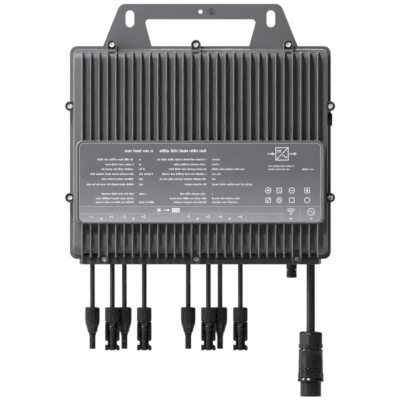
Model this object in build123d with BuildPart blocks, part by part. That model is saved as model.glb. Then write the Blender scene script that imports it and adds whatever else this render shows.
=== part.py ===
from build123d import *
import os
from math import pi, radians, tan

# Micro inverter for four pairs of solar panels, hung by its rear cover from two screws.
# Units are mm. The origin is midway between the two hanger slots, on the rear face of the
# rear cover. +Z is up, the front faces -Y and the wall is behind, at +Y.
# "Depth" is always the distance in front of the rear face, so y = -depth.

# ---- rear cover and hanging bracket ----
PLATE_T = 3.0
BRACKET_TOP = 19.7
BRACKET_TOP_HALF = 106.2
BRACKET_FOOT_HALF = 128.8
BRACKET_CORNER_R = 10.5
SLOT_X = 93.2
SLOT_W = 11.4
SLOT_L = 22.3
EARTH_HOLE_Z = 9.3
EARTH_HOLE_R = 2.75
EARTH_MARK_X = 14.9
EARTH_MARK_R = 4.25
EARTH_STROKE = 0.75
EARTH_STEM_H = 2.7
EARTH_BARS = (4.6, 3.0, 1.4)
EARTH_BAR_PITCH = 1.3
ENGRAVE = 1.0
HANDLE_TOP = -0.75
HANDLE_TOP_HALF = 74.1
HANDLE_FOOT_HALF = 64.5
HANDLE_CORNER_R = 4.5

BEAD_PLACES = (-105.0, 0.0, 105.0)
BEAD_L = 200.0
BEAD_W = 14.0
BEAD_DEPTH = 0.8

# ---- flange of the rear cover, around the housing ----
BODY_HALF_W = 172.5
BODY_TOP = -36.2
BODY_BOTTOM = -317.7
CORNER_R = 9.6

# ---- front housing ----
FACE_DEPTH = 36.0
FACE_HALF_W = 167.2
FACE_TOP = -41.2
FACE_BOTTOM = -310.8
FACE_CORNER_R = 6.5
WALL_SLOPE = 1.4
END_ROUND_R = 13.0
SIDE_ROUND_R = 1.8
CAVITY_INSET = 5.0
CAVITY_CORNER_R = 3.0
CAVITY_DEPTH = 32.0
CAVITY_END_R = 9.0
GROOVE_INSET = 1.3
GROOVE_W = 2.4
GROOVE_DEPTH = 1.6
GROOVE_OUTER_R = 6.6
GROOVE_INNER_R = 4.2
GASKET_FIT = 0.1

# ---- fins ----
FIN_PITCH = 11.07
FIN_SHIFT = -0.4
FIN_COUNT = 29
FIN_TIP_DEPTH = 49.0
FIN_FOOT_DEPTH = 29.0
FIN_ROOT_DEPTH = FACE_DEPTH - END_ROUND_R
FIN_ROOT_HALF = 1.6
FIN_TIP_HALF = 0.95
FIN_TOP = -44.9
FIN_TOP_SLOPE = 8.0
FIN_BOTTOM = -315.9
FIN_NOSE = (3.0, 3.5)

# ---- label pad and label ----
PAD_LEFT, PAD_RIGHT = -163.5, 163.8
PAD_TOP, PAD_BOTTOM = -161.5, -271.0
PAD_DEPTH = 50.2
PAD_CORNER_R = 9.0
PAD_BEVEL = 1.1
PAD_WALL = 6.0
PAD_FLOOR = 5.0
LABEL_LEFT, LABEL_RIGHT = -159.8, 159.1
LABEL_TOP, LABEL_BOTTOM = -164.1, -268.4
LABEL_T = 0.4
LABEL_FLOOR_DEPTH = 49.1
LABEL_CORNER_R = 6.6
LABEL_FIT = 0.2
LABEL_RIM_SLOPE = 42.0

# ---- cover screws, in ears around the housing ----
EAR_R = 6.4
EAR_RIM = 1.3
EAR_DEPTH = 35.5
LOW_EAR_DEPTH = 38.0
SCREW_SEAT_DEPTH = 30.0
SEAT_BOSS_R = 4.2
TROUGH_DEPTH = 22.0
LOW_LINK_DEPTH = 33.5
SCREW_R = 1.9
SCREW_CLEAR_R = 2.25
SCREW_HEAD_R = 3.75
SCREW_HEAD_H = 2.5
SCREW_TIP_DEPTH = 0.5
SCREW_HEAD_ROUND = 1.3
DRIVE_DEPTH = 1.5
DRIVE_R = 1.3
LOBE_PITCH_R = 1.25
LOBE_R = 0.5
TAPPED_R = 1.95

# ---- vent plug in the right-hand wall ----
VENT_Z = -133.5
VENT_DEPTH = 16.5
VENT_SEAT_X = 167.8
VENT_CAP_TOP_X = 174.1
VENT_CAP_R = 8.6
VENT_STUB_R = 6.0
VENT_STUB_L = 8.0
VENT_CAP_ROUND = 1.2
VENT_NOTCHES = 12
VENT_NOTCH_R = 1.1
VENT_BORE_R = 3.5
VENT_BORE_L = 11.0
VENT_SLOT_W = 1.6
VENT_SLOT_IN_R = 7.2
VENT_SLOT_H = 0.5
VENT_SEAT_CLEAR = 0.4

# ---- cable entry block, below the housing ----
BLOCK_HALF_W = 159.7
NECK_HALF_W = 157.0
NECK_DEPTH = 27.0
NECK_TOP = -312.3
BLOCK_END_DRAFT = 3.6
BLOCK_DEPTH = 29.0
BLOCK_BOTTOM = -324.7
BLOCK_EDGE = 0.7
SEAL_H = 6.8
HOLE_CLEAR = 0.8
NECK_FIT = 0.1
FIT = 0.05

# ---- solar input leads ----
PV_LEADS = [
    ("minus", 1, -142.5), ("plus", 1, -116.1), ("minus", 2, -100.4), ("plus", 2, -74.0),
    ("minus", 3, -16.0), ("plus", 3, 10.6), ("minus", 4, 26.0), ("plus", 4, 52.8),
]
PV_CABLE_D = 6.4
PV_EXIT_Y = {"minus": -17.0, "plus": -22.4}
PV_END_Y = {"minus": -10.6, "plus": -23.6}
# heights of the two bends of each lead
PV_BENDS = {"minus": (-339.7, -354.36), "plus": (-343.0, -362.0)}
PV_SEAL_R = 5.2
NUT_TOP = -381.2
NUT_BOTTOM = -399.6
NUT_R = 9.7
NUT_BORE_R = 7.0
NUT_RIBS = 12
NUT_CHAMFER = 1.3
NUT_GROOVE_R = 1.1
NUT_ROOF = 5.0
STUB_TOP = NUT_TOP - NUT_ROOF - 0.2
COLLAR_TOP = NUT_BOTTOM - 0.1
BORE_TOP = -405.0
MINUS_BORE_R = 2.6
MINUS_WINDOW = (2.2, 4.0, 3.4)
MINUS_WINDOW_Z = -425.3
MINUS_TIP = -436.4
PLUS_TIP = -438.0
MINUS_BARREL_R = 4.0
PLUS_PROBE_R = 3.9
PLUS_BORE_R = 2.4
TIP_ROUND = 0.4
CONTACT_SET_BACK = 2.5

# ---- latch fingers of the plus connectors ----
FINGER_OUT = 9.6
FINGER_T = 2.5
FINGER_HALF_Y = 3.5
FINGER_PIVOT_Z = -403.4
FINGER_NECK_IN = 5.25
FINGER_NECK_OUT = 6.15
WEB_Y = 3.7
WEB_T = 1.3

# ---- radio port ----
PORT_X = 120.5
PORT_Y = -16.5
PORT_R = 7.0
PORT_TIP = -342.5
PORT_COLLAR_BOTTOM = -331.4
PORT_CAP_TOP = -332.2
PORT_STUB_R = 5.0
PORT_STEM_R = 3.8
PORT_FIT = 0.08
CAP_BORE_R = PORT_STUB_R + PORT_FIT
PORT_STUB_IN = 22.0
PORT_THREAD_L = 8.0
CAP_ROOF = -339.7
CAP_GROOVES = (-334.2, -335.8, -337.4, -339.0)
CAP_GROOVE_H = 0.7
CAP_GROOVE_DEPTH = 0.6

# ---- alternating-current lead and connector ----
AC_X = 145.75
AC_EXIT_Y = -16.5
AC_END_Y = -19.0
AC_BENDS = (-354.0, -384.0)
AC_CABLE_D = 11.2
AC_SEAL_R = 8.5
AC_NUT_TOP = -412.8
AC_NUT_BOTTOM = -435.0
AC_HEX_BOTTOM = -430.1
AC_HEX_HALF = 15.0
AC_NUT_R = 16.0
AC_NUT_BORE_R = 12.5
AC_NUT_BORE_L = 16.0
AC_TIP = -499.1
AC_SPIGOT_R = 13.9
AC_SLEEVE_R = 13.5
AC_RING_FIT = 0.08
AC_BORE_R = 11.2
AC_INSERT_BOTTOM = -494.0
AC_INSERT_L = 27.8
AC_PIN_CIRCLE_R = 5.6
AC_SOCKET_R = 2.2
AC_SOCKET_L = 19.0
AC_CONTACT_R = 2.0
AC_CONTACT_BORE_R = 1.3
AC_CONTACT_L = 17.0
RING_BORE_R = AC_SLEEVE_R + AC_RING_FIT
RING_RIB_BOTTOM = -474.6
RING_RIB_L = 6.0
RING_RIB_R = 0.55
RING_RIB_CIRCLE_R = 16.25
RING_RIB_STEP = 6
RING_RIBS = 7

# ---- main board ----
BOARD_DEPTH = 8.0
BOARD_T = 1.6
BOARD_HALF_W = 157.0
BOARD_TOP, BOARD_BOTTOM = -51.0, -302.0
POST_PLACES = [(x, z) for x in (-150.0, 0.0, 150.0) for z in (-60.0, -150.0, -272.0)]
POST_R = 4.0
POST_SCREW_R = 1.4
POST_SCREW_L = 10.0
POST_HOLE_L = 12.0
POST_HEAD_R = 2.8
POST_HEAD_H = 2.0
BOARD_HOLE_R = 1.7

# ---- parts on the main board ----
EIGHT_X = [-140.0 + 40.0 * i for i in range(8)]
FOUR_X = [-114.0, -38.0, 38.0, 114.0]
TRANSISTOR_Z = -90.0
TRANSISTOR_SIZE = (16.0, 21.0)
TRANSISTOR_T = 5.0
TRANSISTOR_HOLE_R = 1.8
THERMAL_PAD_SIZE = (18.0, 23.0)
THERMAL_PAD_T = 0.5
LEG_DX = (-5.4, 0.0, 5.4)
LEG_Z = -102.5
LEG_W = 1.2
LEG_T = 0.6
LEG_L = 5.0
CORE_H = 28.0
CORE_W = 40.0
CORE_L = 34.0
CORE_Z = -200.0
CORE_WINDOW_PITCH = 22.0
CORE_WINDOW_W = 10.0
CORE_WINDOW_WALL = 4.5
WINDING_SIZE = (31.0, 52.0)
WINDING_HOLE = (12.4, 34.4)
WINDING_H = 18.0
WINDING_CORNER_R = 6.0
CAPACITOR_Z = -245.0
CAPACITOR_R = 9.0
CAPACITOR_H = 28.0
CHOKE_PLACES = [(-70.0, -135.0), (70.0, -135.0)]
CHOKE_OUT_R = 15.0
CHOKE_IN_R = 9.0
CHOKE_H = 10.0
CHOKE_RAISE = 2.0
CHOKE_WIRE_T = 1.6
CHOKE_FIT = 0.2
CHOKE_ARC = 310
FILM_PLACES = [(-112.0, -135.0), (-25.0, -135.0), (25.0, -135.0), (112.0, -135.0)]
FILM_SIZE = (26.0, 11.0)
FILM_H = 18.0
RELAY_PLACES = [(60.0, -66.0), (90.0, -66.0)]
RELAY_SIZE = (20.0, 14.0)
RELAY_H = 15.0
TERMINAL_BOTTOM = -298.0
TERMINAL_H = 12.0
TERMINAL_T = 18.0
PV_TERMINAL_X = [-129.3, -87.2, -2.7, 39.4]
PV_TERMINAL_W = 37.0
AC_TERMINAL_W = 22.0
RADIO_BOARD_DEPTH = 16.0
RADIO_BOARD_PLACE = (110.0, -272.0)
RADIO_BOARD_SIZE = (36.0, 22.0)
RADIO_BOARD_T = 1.2
RADIO_HEADER_PLACE = (110.0, -264.0)
RADIO_HEADER_SIZE = (26.0, 4.0)

BODY_MID_Z = (BODY_TOP + BODY_BOTTOM) / 2
FACE_MID_Z = (FACE_TOP + FACE_BOTTOM) / 2
WALL_HALF_W = FACE_HALF_W + WALL_SLOPE
WALL_TOP = FACE_TOP + WALL_SLOPE
WALL_BOTTOM = FACE_BOTTOM - WALL_SLOPE
PAD_MID = ((PAD_LEFT + PAD_RIGHT) / 2, (PAD_TOP + PAD_BOTTOM) / 2)
PAD_SIZE = (PAD_RIGHT - PAD_LEFT, PAD_TOP - PAD_BOTTOM)
LABEL_MID = ((LABEL_LEFT + LABEL_RIGHT) / 2, (LABEL_TOP + LABEL_BOTTOM) / 2)
LABEL_SIZE = (LABEL_RIGHT - LABEL_LEFT, LABEL_TOP - LABEL_BOTTOM)
RECESS_SIZE = (LABEL_SIZE[0] + 2 * LABEL_FIT, LABEL_SIZE[1] + 2 * LABEL_FIT)
RECESS_H = PAD_DEPTH - LABEL_FLOOR_DEPTH
RIM_RUN = RECESS_H * tan(radians(LABEL_RIM_SLOPE))
FIN_PLACES = [FIN_SHIFT + FIN_PITCH * (i - (FIN_COUNT - 1) / 2) for i in range(FIN_COUNT)]
BOARD_FRONT = BOARD_DEPTH + BOARD_T
WALL_LEAN = WALL_SLOPE / (FACE_DEPTH - PLATE_T)
# where the rounds of the face meet the leaning walls
END_ROUND_Y = END_ROUND_R - FACE_DEPTH
END_ROUND_TOP = FACE_TOP + WALL_LEAN * END_ROUND_R
END_ROUND_BOTTOM = FACE_BOTTOM - WALL_LEAN * END_ROUND_R
SIDE_ROUND_Y = SIDE_ROUND_R - FACE_DEPTH
SIDE_ROUND_X = FACE_HALF_W + WALL_LEAN * SIDE_ROUND_R
PV_EXITS = [(x, PV_EXIT_Y[pole]) for pole, _, x in PV_LEADS]

# Ears: centre x and z, the way to the housing as a sign in x or z, and how far the link runs.
# The top and lower ears sit midway between two fins.
TOP_EARS = [(FIN_SHIFT + n * FIN_PITCH, -34.9, 0, -1, 10.0) for n in (-10.5, -0.5, 10.5)]
LOW_EARS = [(FIN_SHIFT + n * FIN_PITCH, -318.2, 0, 1, 12.2) for n in (-11.5, -0.5, 11.5)]
SIDE_EARS = [(x, z, 1 if x < 0 else -1, 0, 6.0) for x in (-172.0, 171.3) for z in (-116.0, -236.6)]
EARS = TOP_EARS + LOW_EARS + SIDE_EARS
EAR_CENTRES = [ear[:2] for ear in EARS]
LOW_CENTRES = [ear[:2] for ear in LOW_EARS]
RECESSES = [(TOP_EARS, 5.8), (LOW_EARS, 6.3), (SIDE_EARS, 4.0)]


def front_plane(depth):
    """A plane parallel to the front, drawn as seen from the front."""
    return Plane(origin=(0, -depth, 0), x_dir=(1, 0, 0), z_dir=(0, -1, 0))


def axial_plane(x, y):
    """A plane through the vertical line at x, y: local X is the radius, local Y the height."""
    return Plane(origin=(x, y, 0), x_dir=(1, 0, 0), z_dir=(0, -1, 0))


def level(z, x=0.0, y=0.0):
    """A level plane, seen from above."""
    return Plane(origin=(x, y, z), x_dir=(1, 0, 0), z_dir=(0, 0, 1))


def save(piece, name):
    """Labels a finished piece and writes its STEP file."""
    piece.label = name
    export_step(piece, f"parts/{name}.step")


def case_outline(inset, corner_r, mode=Mode.ADD):
    """Sketch of the housing wall's outline at the cover joint, set in by inset."""
    with Locations((0, FACE_MID_Z)):
        RectangleRounded(
            2 * (WALL_HALF_W - inset), WALL_TOP - WALL_BOTTOM - 2 * inset, corner_r, mode=mode
        )


def ear_outline(x, z, to_x, to_z, link, radius):
    """Sketch of an ear: a disc with a straight link of the same width towards the housing."""
    with Locations((x, z)):
        Circle(radius)
    with Locations((x + to_x * link / 2, z + to_z * link / 2)):
        Rectangle(link if to_x else 2 * radius, link if to_z else 2 * radius)


def turned(profile, x, y):
    """A solid turned about the vertical line at x, y from (radius, height) corners."""
    with BuildPart() as piece:
        with BuildSketch(axial_plane(x, y)):
            with BuildLine():
                Polyline(*profile, close=True)
            make_face()
        revolve(axis=Axis((x, y, 0), (0, 0, 1)))
    return piece.part


def cord_tube(points, diameter, name):
    """A cord's solid: straight runs joined by tangent arcs, as large as the runs allow."""
    runs = [Vector(*b) - Vector(*a) for a, b in zip(points, points[1:])]
    radii = []
    for before, after in zip(runs, runs[1:]):
        half_turn = radians(before.get_angle(after)) / 2
        radii.append(0.45 * min(before.length, after.length) / tan(half_turn))
    with BuildPart() as tube:
        with BuildLine() as path:
            FilletPolyline(*points, radius=radii)
        rail = path.wires()[0]
        with BuildSketch(Plane(origin=rail @ 0, z_dir=rail % 0)):
            Circle(diameter / 2)
        sweep(path=rail)
    expected = pi * diameter**2 / 4 * rail.length
    print(name, "radii", [round(r, 1) for r in radii], "length", round(rail.length, 2))
    print(name, "volume over section times length", round(tube.part.volume / expected, 4))
    save(tube.part, name)


os.makedirs("parts", exist_ok=True)

# ======================= rear cover with the hanging bracket =======================
with BuildPart() as rear_cover:
    with BuildSketch(front_plane(0)) as cover_outline:
        with Locations((0, BODY_MID_Z)):
            RectangleRounded(2 * BODY_HALF_W, BODY_TOP - BODY_BOTTOM, CORNER_R)
        for x, z, to_x, to_z, link in EARS:
            ear_outline(x, z, to_x, to_z, link, EAR_R)
    extrude(amount=PLATE_T)
    with BuildSketch(front_plane(0)) as bracket_outline:
        with BuildLine():
            Polyline(
                (-BRACKET_TOP_HALF, BRACKET_TOP), (BRACKET_TOP_HALF, BRACKET_TOP),
                (BRACKET_FOOT_HALF, BODY_TOP), (BRACKET_FOOT_HALF, BODY_TOP - CORNER_R),
                (-BRACKET_FOOT_HALF, BODY_TOP - CORNER_R), (-BRACKET_FOOT_HALF, BODY_TOP),
                close=True,
            )
        make_face()
        fillet(bracket_outline.vertices().group_by(Axis.Y)[-1], BRACKET_CORNER_R)
    extrude(amount=PLATE_T)
    with BuildSketch(front_plane(0)) as handle_outline:
        with BuildLine():
            Polyline(
                (-HANDLE_TOP_HALF, HANDLE_TOP), (HANDLE_TOP_HALF, HANDLE_TOP),
                (HANDLE_FOOT_HALF, BODY_TOP), (-HANDLE_FOOT_HALF, BODY_TOP),
                close=True,
            )
        make_face()
        fillet(handle_outline.vertices().group_by(Axis.Y)[-1], HANDLE_CORNER_R)
    extrude(amount=PLATE_T, mode=Mode.SUBTRACT)
    # the middle top ear reaches into the handle
    with BuildSketch(front_plane(0)):
        for x, z, to_x, to_z, link in TOP_EARS:
            ear_outline(x, z, to_x, to_z, link, EAR_R)
    extrude(amount=PLATE_T)
    with BuildSketch(front_plane(0)):
        with Locations((-SLOT_X, 0), (SLOT_X, 0)):
            SlotOverall(SLOT_L, SLOT_W, rotation=90)
        with Locations((0, EARTH_HOLE_Z)):
            Circle(EARTH_HOLE_R)
        with Locations(*EAR_CENTRES):
            Circle(TAPPED_R)
    extrude(amount=PLATE_T, mode=Mode.SUBTRACT)
    # earth symbol: a ring, a stem and three bars, engraved in the front face
    with BuildSketch(front_plane(PLATE_T)):
        with Locations((EARTH_MARK_X, EARTH_HOLE_Z)):
            Circle(EARTH_MARK_R)
            Circle(EARTH_MARK_R - EARTH_STROKE, mode=Mode.SUBTRACT)
        with Locations((EARTH_MARK_X, EARTH_HOLE_Z + EARTH_STEM_H / 2)):
            Rectangle(EARTH_STROKE, EARTH_STEM_H)
        for n, width in enumerate(EARTH_BARS):
            with Locations((EARTH_MARK_X, EARTH_HOLE_Z - EARTH_BAR_PITCH * n)):
                Rectangle(width, EARTH_STROKE)
    extrude(amount=-ENGRAVE, mode=Mode.SUBTRACT)
    # three shallow stiffening beads pressed into the rear face
    with BuildSketch(front_plane(0)):
        with Locations(*[(x, BODY_MID_Z) for x in BEAD_PLACES]):
            SlotOverall(BEAD_L, BEAD_W, rotation=90)
    extrude(amount=BEAD_DEPTH, mode=Mode.SUBTRACT)
save(rear_cover.part, "rear_cover")

# ======================= front housing =======================
with BuildPart() as fin:
    with BuildSketch(level(FIN_BOTTOM)):
        with BuildLine():
            Polyline(
                (-FIN_TIP_HALF, -FIN_TIP_DEPTH + FIN_TIP_HALF), (-FIN_ROOT_HALF, -FACE_DEPTH),
                (-FIN_ROOT_HALF, -FIN_ROOT_DEPTH), (FIN_ROOT_HALF, -FIN_ROOT_DEPTH),
                (FIN_ROOT_HALF, -FACE_DEPTH), (FIN_TIP_HALF, -FIN_TIP_DEPTH + FIN_TIP_HALF),
            )
            ThreePointArc(
                (FIN_TIP_HALF, -FIN_TIP_DEPTH + FIN_TIP_HALF), (0, -FIN_TIP_DEPTH),
                (-FIN_TIP_HALF, -FIN_TIP_DEPTH + FIN_TIP_HALF),
            )
        make_face()
    extrude(amount=FIN_TOP - FIN_BOTTOM)
    with BuildSketch(Plane.YZ.offset(-FIN_ROOT_HALF - 1)):
        with BuildLine():
            Polyline(
                (-FIN_TIP_DEPTH, FIN_TOP - FIN_TOP_SLOPE), (-FIN_TIP_DEPTH, FIN_BOTTOM + FIN_NOSE[1]),
                (-FIN_TIP_DEPTH + FIN_NOSE[0], FIN_BOTTOM), (-FIN_FOOT_DEPTH, FIN_BOTTOM),
                (-FIN_FOOT_DEPTH, FACE_BOTTOM), (-FIN_ROOT_DEPTH, FACE_BOTTOM),
                (-FIN_ROOT_DEPTH, FIN_TOP), (-FACE_DEPTH - 0.4, FIN_TOP),
            )
            ThreePointArc(
                (-FACE_DEPTH - 0.4, FIN_TOP), (-FIN_TIP_DEPTH + 3.2, FIN_TOP - 0.42 * FIN_TOP_SLOPE),
                (-FIN_TIP_DEPTH, FIN_TOP - FIN_TOP_SLOPE),
            )
        make_face()
    extrude(amount=2 * FIN_ROOT_HALF + 2, mode=Mode.INTERSECT)

# cavity with rounded ends, taller than it is open so that only its front ends are round
with BuildPart() as cavity:
    with BuildSketch(front_plane(PLATE_T)):
        case_outline(CAVITY_INSET, CAVITY_CORNER_R)
    extrude(amount=CAVITY_DEPTH - PLATE_T)
    with BuildSketch(Plane.YZ.offset(-WALL_HALF_W)):
        with Locations((0, FACE_MID_Z)):
            RectangleRounded(
                2 * CAVITY_DEPTH, WALL_TOP - WALL_BOTTOM - 2 * CAVITY_INSET, CAVITY_END_R
            )
    extrude(amount=2 * WALL_HALF_W, mode=Mode.INTERSECT)

with BuildPart() as front_housing:
    # walls that lean in a little from the cover joint to the face
    with BuildSketch(front_plane(PLATE_T)):
        case_outline(0, FACE_CORNER_R + WALL_SLOPE)
    with BuildSketch(front_plane(FACE_DEPTH)):
        with Locations((0, FACE_MID_Z)):
            RectangleRounded(2 * FACE_HALF_W, FACE_TOP - FACE_BOTTOM, FACE_CORNER_R)
    loft()
    # the face rounds off widely at its top and bottom ends
    with BuildSketch(Plane.YZ.offset(-WALL_HALF_W - 1)):
        with BuildLine():
            Polyline(
                (-FACE_DEPTH, FACE_TOP - END_ROUND_R), (-FACE_DEPTH, FACE_BOTTOM + END_ROUND_R)
            )
            RadiusArc(
                (-FACE_DEPTH, FACE_BOTTOM + END_ROUND_R), (END_ROUND_Y, END_ROUND_BOTTOM), -END_ROUND_R
            )
            Polyline(
                (END_ROUND_Y, END_ROUND_BOTTOM), (END_ROUND_Y, WALL_BOTTOM - 1),
                (-PLATE_T, WALL_BOTTOM - 1), (-PLATE_T, WALL_TOP + 1),
                (END_ROUND_Y, WALL_TOP + 1), (END_ROUND_Y, END_ROUND_TOP),
            )
            RadiusArc((END_ROUND_Y, END_ROUND_TOP), (-FACE_DEPTH, FACE_TOP - END_ROUND_R), -END_ROUND_R)
        make_face()
    extrude(amount=2 * WALL_HALF_W + 2, mode=Mode.INTERSECT)
    # and slightly at its sides
    with BuildSketch(level(WALL_BOTTOM - 1)):
        with BuildLine():
            Line(
                (SIDE_ROUND_R - FACE_HALF_W, -FACE_DEPTH), (FACE_HALF_W - SIDE_ROUND_R, -FACE_DEPTH)
            )
            RadiusArc(
                (FACE_HALF_W - SIDE_ROUND_R, -FACE_DEPTH), (SIDE_ROUND_X, SIDE_ROUND_Y), -SIDE_ROUND_R
            )
            Polyline(
                (SIDE_ROUND_X, SIDE_ROUND_Y), (WALL_HALF_W + 1, SIDE_ROUND_Y),
                (WALL_HALF_W + 1, -PLATE_T), (-WALL_HALF_W - 1, -PLATE_T),
                (-WALL_HALF_W - 1, SIDE_ROUND_Y), (-SIDE_ROUND_X, SIDE_ROUND_Y),
            )
            RadiusArc(
                (-SIDE_ROUND_X, SIDE_ROUND_Y), (SIDE_ROUND_R - FACE_HALF_W, -FACE_DEPTH), -SIDE_ROUND_R
            )
        make_face()
    extrude(amount=WALL_TOP - WALL_BOTTOM + 2, mode=Mode.INTERSECT)
    # label pad, with a bevelled rim
    with BuildSketch(front_plane(FACE_DEPTH - 1)):
        with Locations(PAD_MID):
            RectangleRounded(*PAD_SIZE, PAD_CORNER_R)
    extrude(amount=PAD_DEPTH - FACE_DEPTH + 1)
    chamfer(faces().sort_by(Axis.Y)[0].edges(), PAD_BEVEL)
    with Locations(*[(x, 0, 0) for x in FIN_PLACES]):
        add(fin.part)
    # the label's recess, with a sloping rim
    with BuildSketch(front_plane(PAD_DEPTH)):
        with Locations(LABEL_MID):
            RectangleRounded(
                RECESS_SIZE[0] + 2 * RIM_RUN, RECESS_SIZE[1] + 2 * RIM_RUN,
                LABEL_CORNER_R + LABEL_FIT + RIM_RUN,
            )
    extrude(amount=-RECESS_H, taper=LABEL_RIM_SLOPE, mode=Mode.SUBTRACT)
    # ears for the cover screws
    with BuildSketch(front_plane(PLATE_T)):
        for x, z, to_x, to_z, link in TOP_EARS + SIDE_EARS:
            ear_outline(x, z, to_x, to_z, link, EAR_R)
    extrude(amount=EAR_DEPTH - PLATE_T)
    with BuildSketch(front_plane(BLOCK_DEPTH + 0.1)):
        for x, z, to_x, to_z, link in LOW_EARS:
            ear_outline(x, z, to_x, to_z, link, EAR_R)
    extrude(amount=LOW_LINK_DEPTH - BLOCK_DEPTH - 0.1)
    with BuildSketch(front_plane(LOW_LINK_DEPTH)):
        with Locations(*LOW_CENTRES):
            Circle(EAR_R)
    extrude(amount=LOW_EAR_DEPTH - LOW_LINK_DEPTH)
    # U-shaped recesses around the screw heads
    with BuildSketch(front_plane(SCREW_SEAT_DEPTH)):
        for ears, recess in RECESSES:
            for x, z, to_x, to_z, _ in ears:
                ear_outline(x, z, to_x, to_z, recess, EAR_R - EAR_RIM)
    extrude(amount=LOW_EAR_DEPTH - SCREW_SEAT_DEPTH + 0.1, mode=Mode.SUBTRACT)
    # deeper troughs beside the screw seats of the top and side ears
    with BuildSketch(front_plane(TROUGH_DEPTH)):
        for ears, recess in (RECESSES[0], RECESSES[2]):
            for x, z, to_x, to_z, _ in ears:
                ear_outline(x, z, to_x, to_z, recess, EAR_R - EAR_RIM)
        with Locations(*[ear[:2] for ear in TOP_EARS + SIDE_EARS]):
            Circle(SEAT_BOSS_R, mode=Mode.SUBTRACT)
    extrude(amount=SCREW_SEAT_DEPTH - TROUGH_DEPTH, mode=Mode.SUBTRACT)
    # cavity, with a deeper pocket behind the label pad
    add(cavity.part, mode=Mode.SUBTRACT)
    with BuildSketch(front_plane(CAVITY_DEPTH - 1)):
        with Locations(PAD_MID):
            RectangleRounded(
                PAD_SIZE[0] - 2 * PAD_WALL, PAD_SIZE[1] - 2 * PAD_WALL, CAVITY_CORNER_R
            )
    extrude(amount=LABEL_FLOOR_DEPTH - PAD_FLOOR - CAVITY_DEPTH + 1, mode=Mode.SUBTRACT)
    # posts that carry the main board
    with BuildSketch(front_plane(BOARD_FRONT)):
        with Locations(*POST_PLACES):
            Circle(POST_R)
    extrude(amount=CAVITY_DEPTH - BOARD_FRONT + 1)
    with BuildSketch(front_plane(BOARD_FRONT)):
        with Locations(*POST_PLACES):
            Circle(POST_SCREW_R + FIT)
    extrude(amount=POST_HOLE_L, mode=Mode.SUBTRACT)
    # screw holes and the gasket groove in the cover joint
    with BuildSketch(front_plane(PLATE_T)):
        with Locations(*EAR_CENTRES):
            Circle(SCREW_CLEAR_R)
    extrude(amount=SCREW_SEAT_DEPTH - PLATE_T, mode=Mode.SUBTRACT)
    with BuildSketch(front_plane(PLATE_T)):
        case_outline(GROOVE_INSET, GROOVE_OUTER_R)
        case_outline(GROOVE_INSET + GROOVE_W, GROOVE_INNER_R, Mode.SUBTRACT)
    extrude(amount=GROOVE_DEPTH, mode=Mode.SUBTRACT)
    # lead holes through the lower wall
    with BuildSketch(level(WALL_BOTTOM - 1)):
        with Locations(*PV_EXITS):
            Circle(PV_CABLE_D / 2 + HOLE_CLEAR)
        with Locations((AC_X, AC_EXIT_Y)):
            Circle(AC_CABLE_D / 2 + HOLE_CLEAR)
        with Locations((PORT_X, PORT_Y)):
            Circle(PORT_STEM_R)
    extrude(amount=CAVITY_INSET + 3, mode=Mode.SUBTRACT)
    # seat and bore for the vent plug in the right-hand wall
    with BuildSketch(Plane.YZ.offset(VENT_SEAT_X)):
        with Locations((-VENT_DEPTH, VENT_Z)):
            Circle(VENT_CAP_R + VENT_SEAT_CLEAR)
    extrude(amount=2, mode=Mode.SUBTRACT)
    with BuildSketch(Plane.YZ.offset(VENT_SEAT_X)):
        with Locations((-VENT_DEPTH, VENT_Z)):
            Circle(VENT_STUB_R + FIT)
    extrude(amount=-VENT_STUB_L, mode=Mode.SUBTRACT)
save(front_housing.part, "front_housing")

# ======================= gasket, screws, vent, label =======================
with BuildPart() as housing_gasket:
    with BuildSketch(front_plane(PLATE_T)):
        case_outline(GROOVE_INSET + GASKET_FIT, GROOVE_OUTER_R - GASKET_FIT)
        case_outline(
            GROOVE_INSET + GROOVE_W - GASKET_FIT, GROOVE_INNER_R + GASKET_FIT, Mode.SUBTRACT
        )
    extrude(amount=GROOVE_DEPTH - GASKET_FIT)
save(housing_gasket.part, "housing_gasket")

with BuildPart() as cover_screws:
    with BuildSketch(front_plane(SCREW_TIP_DEPTH)):
        with Locations(*EAR_CENTRES):
            Circle(SCREW_R)
    extrude(amount=SCREW_SEAT_DEPTH - SCREW_TIP_DEPTH)
    with BuildSketch(front_plane(SCREW_SEAT_DEPTH)):
        with Locations(*EAR_CENTRES):
            Circle(SCREW_HEAD_R)
    extrude(amount=SCREW_HEAD_H)
    fillet(edges().filter_by(GeomType.CIRCLE).group_by(Axis.Y)[0], SCREW_HEAD_ROUND)
    # six-lobed drive: six lobes around a round centre
    with BuildSketch(front_plane(SCREW_SEAT_DEPTH + SCREW_HEAD_H - DRIVE_DEPTH)):
        with Locations(*EAR_CENTRES):
            Circle(DRIVE_R)
            with PolarLocations(LOBE_PITCH_R, 6):
                Circle(LOBE_R)
    extrude(amount=2, mode=Mode.SUBTRACT)
save(cover_screws.part, "cover_screws")

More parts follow.
